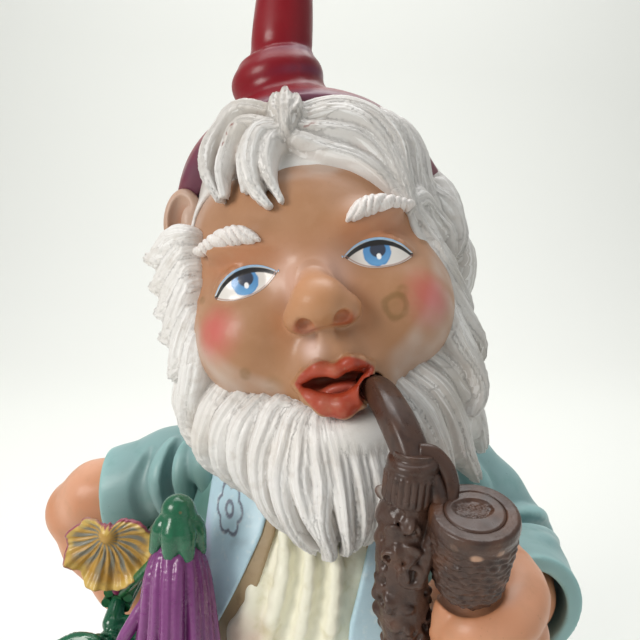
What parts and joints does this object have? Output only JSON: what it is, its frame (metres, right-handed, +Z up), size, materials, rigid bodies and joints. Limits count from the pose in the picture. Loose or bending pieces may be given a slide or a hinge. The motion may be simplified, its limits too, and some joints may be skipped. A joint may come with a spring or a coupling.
{
  "type": "garden gnome",
  "caption": "Cast vinyl garden gnome with a pointed hat, curly beard, bent tobacco pipe that pulls out of its fist and a bunch of flowers tucked under one arm",
  "frame": {"origin": "on the floor under the figure, on the flat underside of the plinth", "axes": "+Z up towards the hat, -Y the way the face looks, +X the side of the arm that holds the pipe"},
  "size_m": [0.243, 0.1873, 0.4535],
  "materials": {
    "moss_paint": "sponged green over brown, matt",
    "black_rubber": "moulded, dull",
    "boot_paint": "dark brown, semi-gloss",
    "trouser_paint": "brown, matt",
    "jacket_paint": "sprayed pale teal, satin",
    "shirt_paint": "cream with olive-tan shading, satin",
    "lapel_paint": "pale blue-white, satin",
    "waistcoat_paint": "tan, satin",
    "belt_paint": "black-brown, semi-gloss",
    "buckle_paint": "old gold paint",
    "bare_vinyl": "unpainted vinyl",
    "skin_paint": "tan skin with rosy cheeks, satin to gloss",
    "hair_paint": "off-white over tan, satin",
    "hat_paint": "crimson, gloss",
    "pipe_paint": "dark brown, semi-gloss, worn edges",
    "stem_paint": "glossy green",
    "twine_paint": "straw yellow",
    "tassel_paint": "purple, glossy",
    "pansy_paint": "yellow with dark streaks",
    "leaf_paint": "dark green, glossy"
  },
  "bodies": {
    "figure": {"plinth": "moss_paint", "boot_right": "boot_paint", "boot_left": "boot_paint", "trousers": "trouser_paint", "jacket": "jacket_paint", "jacket_collar": "jacket_paint", "pipe_arm_sleeve": "jacket_paint", "flower_arm_sleeve": "jacket_paint", "shirt_front": "shirt_paint", "lapel_right": "lapel_paint", "lapel_left": "lapel_paint", "waistcoat_edges": "waistcoat_paint", "belt": "belt_paint", "belt_buckle": "buckle_paint", "neck_spigot": "bare_vinyl", "pipe_forearm": "skin_paint", "pipe_fist": "skin_paint", "flower_forearm": "skin_paint", "flower_fist": "skin_paint", "head": "skin_paint", "beard": "hair_paint", "hair_fringe": "hair_paint", "hair_right": "hair_paint", "hair_left": "hair_paint", "hair_back": "hair_paint", "hat": "hat_paint"},
    "pipe": {"pipe_mouthpiece": "pipe_paint", "pipe_collar": "pipe_paint", "pipe_shank": "pipe_paint", "pipe_bowl": "pipe_paint", "pipe_lid": "pipe_paint", "pipe_strap": "pipe_paint", "pipe_ring": "pipe_paint"},
    "flowers": {"flower_stems": "stem_paint", "flower_tie": "twine_paint", "tassel_calyx": "stem_paint", "tassel_bloom": "tassel_paint", "pansy_bloom": "pansy_paint", "flower_leaves": "leaf_paint"},
    "plug": {"filler_plug": "black_rubber"}
  },
  "joints": [
    {"name": "pipe_pull", "type": "slide", "parent": "figure", "child": "pipe", "axis": [0, -1, 0], "range_m": [0, 0.06]},
    {"name": "flowers_pull", "type": "slide", "parent": "figure", "child": "flowers", "axis": [0, -1, 0], "range_m": [0, 0.08]},
    {"name": "plug_pull", "type": "slide", "parent": "figure", "child": "plug", "axis": [0, 0, -1], "range_m": [0, 0.02]}
  ]
}
